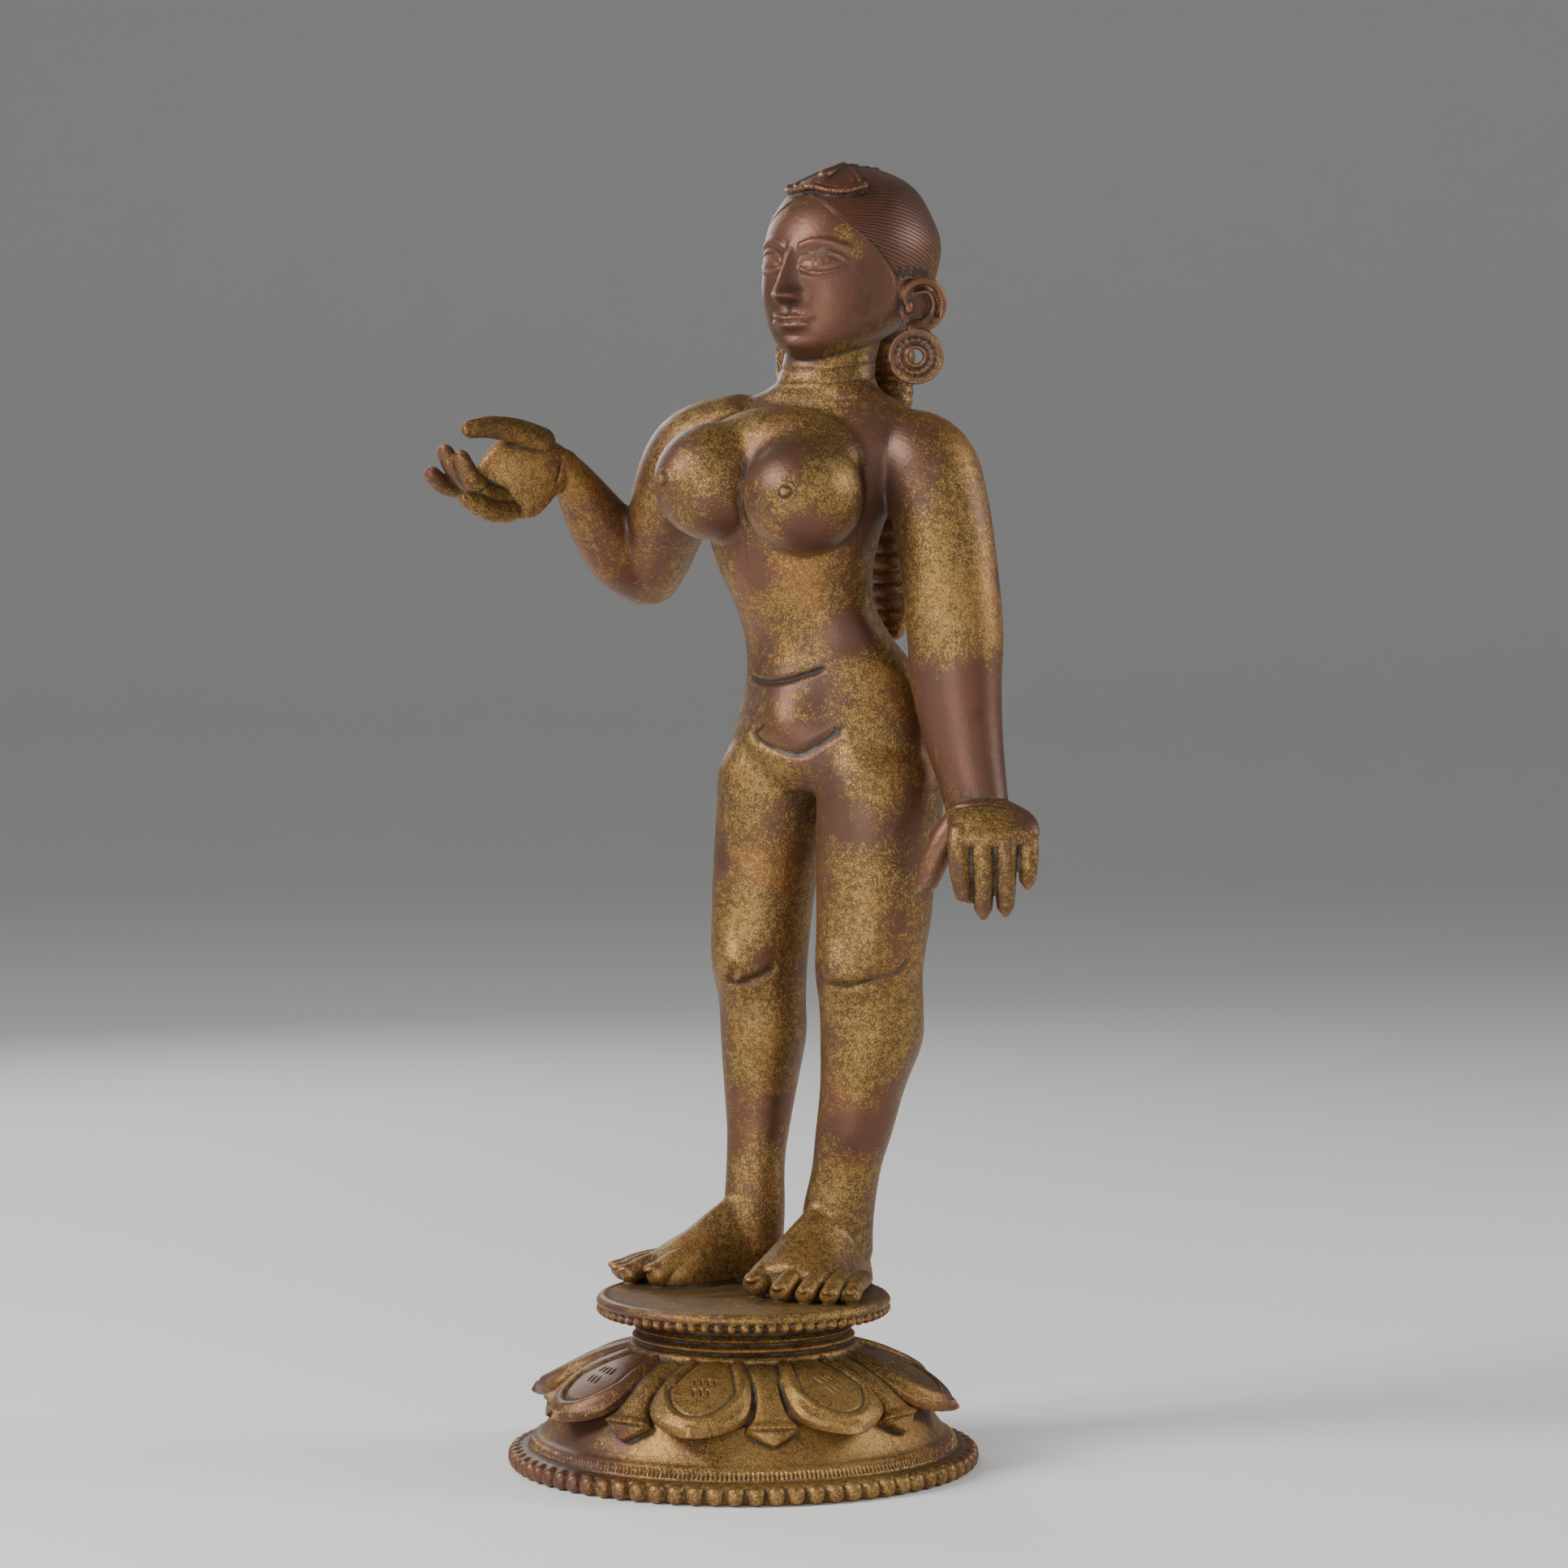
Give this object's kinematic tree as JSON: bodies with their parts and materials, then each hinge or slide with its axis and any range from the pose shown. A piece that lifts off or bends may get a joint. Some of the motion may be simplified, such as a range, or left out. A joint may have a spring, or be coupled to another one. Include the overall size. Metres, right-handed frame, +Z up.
{
  "type": "sita figure",
  "caption": "South Indian copper-alloy standing female figure, cast in one with its round lotus pedestal; right hand raised to hold a flower",
  "frame": {"origin": "centre of the flat underside of the pedestal", "axes": "+Z up along the figure; -Y the way the figure faces; +X to the figure's own left, the lowered arm"},
  "size_m": [0.281, 0.2217, 0.6005],
  "materials": {
    "bronze": "old copper alloy: red-brown patina with speckled gold wear and traces of green"
  },
  "bodies": {
    "root": {"sita_figure": "bronze"}
  },
  "joints": []
}
